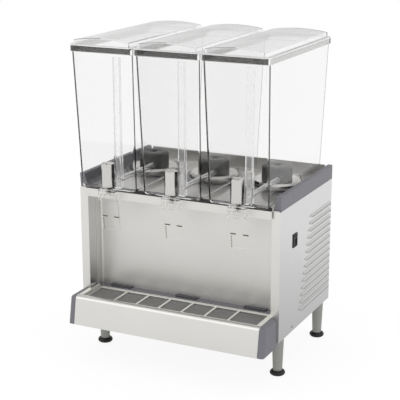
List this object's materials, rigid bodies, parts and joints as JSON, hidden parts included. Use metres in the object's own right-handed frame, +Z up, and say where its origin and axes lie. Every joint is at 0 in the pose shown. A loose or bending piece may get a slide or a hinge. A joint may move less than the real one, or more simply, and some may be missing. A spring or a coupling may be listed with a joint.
{
  "type": "cold drink dispenser",
  "caption": "Cold drink dispenser: clear tapered bowls with arched lids, spray tubes and push-lever taps over a louvred, chilled steel base with a drip tray and grille, on tapered legs.",
  "frame": {"origin": "centre of the overall box, on the floor plane under the feet", "axes": "+X to the right seen from the front, +Y from the taps to the rear, +Z up"},
  "size_m": [0.564, 0.4504, 0.8353],
  "materials": {
    "stainless": "brushed",
    "panel_steel": "brushed",
    "zinc_steel": "satin",
    "trim_grey": "satin",
    "trim_light": "satin",
    "clear_plastic": "gloss",
    "tube_plastic": "gloss",
    "black_rubber": "matte",
    "black_plastic": "satin",
    "insert_plastic": "matte",
    "leg_metal": "satin",
    "pump_plastic": "gloss",
    "compressor_paint": "satin",
    "fin_aluminium": "satin",
    "copper": "satin",
    "screw_steel": "gloss"
  },
  "bodies": {
    "cabinet": {"base_pan": "zinc_steel", "side_panel_left": "panel_steel", "side_panel_right": "panel_steel", "rear_cover": "zinc_steel", "splash_panel": "stainless", "deck_pan": "stainless", "deck_rail_left": "trim_grey", "deck_rail_right": "trim_grey", "legs": "leg_metal", "rubber_feet": "black_rubber", "splash_sill": "trim_light", "switch_housing": "black_plastic", "power_inlet": "black_plastic", "panel_screws": "screw_steel", "cold_plates": "stainless", "plate_gaskets": "black_rubber", "rest_strip": "black_rubber", "pump_motors": "compressor_paint", "compressor": "compressor_paint", "compressor_mounts": "black_rubber", "condenser": "fin_aluminium", "fan_motor": "compressor_paint", "refrigerant_tubes": "copper", "pump_cover_left": "pump_plastic", "pump_cover_centre": "pump_plastic", "pump_cover_right": "pump_plastic"},
    "tray": {"drip_tray": "stainless", "tray_end_cap_left": "trim_grey", "tray_end_cap_right": "trim_grey"},
    "grille": {"cup_grille": "stainless", "grille_inserts": "insert_plastic"},
    "switch_rocker": {"rocker": "black_plastic"},
    "fan": {"fan_blade": "black_plastic"},
    "left_bowl": {"bowl_left": "clear_plastic", "tap_housing_left": "trim_grey", "valve_sleeve_left": "stainless", "spray_tube_left": "tube_plastic"},
    "left_lid": {"lid_left": "clear_plastic"},
    "left_lever": {"tap_lever_left": "clear_plastic"},
    "left_plunger": {"valve_plunger_left": "black_plastic"},
    "left_impeller": {"impeller_left": "pump_plastic"},
    "centre_bowl": {"bowl_centre": "clear_plastic", "tap_housing_centre": "trim_grey", "valve_sleeve_centre": "stainless", "spray_tube_centre": "tube_plastic"},
    "centre_lid": {"lid_centre": "clear_plastic"},
    "centre_lever": {"tap_lever_centre": "clear_plastic"},
    "centre_plunger": {"valve_plunger_centre": "black_plastic"},
    "centre_impeller": {"impeller_centre": "pump_plastic"},
    "right_bowl": {"bowl_right": "clear_plastic", "tap_housing_right": "trim_grey", "valve_sleeve_right": "stainless", "spray_tube_right": "tube_plastic"},
    "right_lid": {"lid_right": "clear_plastic"},
    "right_lever": {"tap_lever_right": "clear_plastic"},
    "right_plunger": {"valve_plunger_right": "black_plastic"},
    "right_impeller": {"impeller_right": "pump_plastic"}
  },
  "joints": [
    {"name": "tray_slide", "type": "slide", "parent": "cabinet", "child": "tray", "axis": [0, -1, 0], "range_m": [0, 0.12]},
    {"name": "grille_lift", "type": "slide", "parent": "tray", "child": "grille", "axis": [0, 0, 1], "range_m": [0, 0.04]},
    {"name": "rocker_tilt", "type": "hinge", "parent": "cabinet", "child": "switch_rocker", "pos_m": [0.2715, -0.0442, 0.348], "axis": [0, -1, 0], "range_deg": [0, 14]},
    {"name": "fan_spin", "type": "hinge", "parent": "cabinet", "child": "fan", "pos_m": [0.203, 0.1238, 0.2195], "axis": [1, 0, 0], "continuous": true},
    {"name": "left_bowl_lift", "type": "slide", "parent": "cabinet", "child": "left_bowl", "axis": [0, 0, 1], "range_m": [0, 0.1]},
    {"name": "left_lid_lift", "type": "slide", "parent": "left_bowl", "child": "left_lid", "axis": [0, 0, 1], "range_m": [0, 0.06]},
    {"name": "left_lever_push", "type": "hinge", "parent": "left_bowl", "child": "left_lever", "pos_m": [-0.1783, -0.1682, 0.436], "axis": [1, 0, 0], "range_deg": [0, 22]},
    {"name": "left_plunger_lift", "type": "slide", "parent": "left_bowl", "child": "left_plunger", "axis": [0, 0, 1], "range_m": [0, 0.0058], "stiffness_N_per_m": 120, "springref_m": -0.008},
    {"name": "left_impeller_spin", "type": "hinge", "parent": "cabinet", "child": "left_impeller", "pos_m": [-0.1783, 0.0748, 0.475], "axis": [0, 0, 1], "continuous": true},
    {"name": "centre_bowl_lift", "type": "slide", "parent": "cabinet", "child": "centre_bowl", "axis": [0, 0, 1], "range_m": [0, 0.1]},
    {"name": "centre_lid_lift", "type": "slide", "parent": "centre_bowl", "child": "centre_lid", "axis": [0, 0, 1], "range_m": [0, 0.06]},
    {"name": "centre_lever_push", "type": "hinge", "parent": "centre_bowl", "child": "centre_lever", "pos_m": [0, -0.1682, 0.436], "axis": [1, 0, 0], "range_deg": [0, 22]},
    {"name": "centre_plunger_lift", "type": "slide", "parent": "centre_bowl", "child": "centre_plunger", "axis": [0, 0, 1], "range_m": [0, 0.0058], "stiffness_N_per_m": 120, "springref_m": -0.008},
    {"name": "centre_impeller_spin", "type": "hinge", "parent": "cabinet", "child": "centre_impeller", "pos_m": [0, 0.0748, 0.475], "axis": [0, 0, 1], "continuous": true},
    {"name": "right_bowl_lift", "type": "slide", "parent": "cabinet", "child": "right_bowl", "axis": [0, 0, 1], "range_m": [0, 0.1]},
    {"name": "right_lid_lift", "type": "slide", "parent": "right_bowl", "child": "right_lid", "axis": [0, 0, 1], "range_m": [0, 0.06]},
    {"name": "right_lever_push", "type": "hinge", "parent": "right_bowl", "child": "right_lever", "pos_m": [0.1783, -0.1682, 0.436], "axis": [1, 0, 0], "range_deg": [0, 22]},
    {"name": "right_plunger_lift", "type": "slide", "parent": "right_bowl", "child": "right_plunger", "axis": [0, 0, 1], "range_m": [0, 0.0058], "stiffness_N_per_m": 120, "springref_m": -0.008},
    {"name": "right_impeller_spin", "type": "hinge", "parent": "cabinet", "child": "right_impeller", "pos_m": [0.1783, 0.0748, 0.475], "axis": [0, 0, 1], "continuous": true}
  ],
  "couplings": [
    {"joint": "left_plunger_lift", "follows": "left_lever_push", "m_per_rad": 0.015},
    {"joint": "centre_plunger_lift", "follows": "centre_lever_push", "m_per_rad": 0.015},
    {"joint": "right_plunger_lift", "follows": "right_lever_push", "m_per_rad": 0.015}
  ]
}
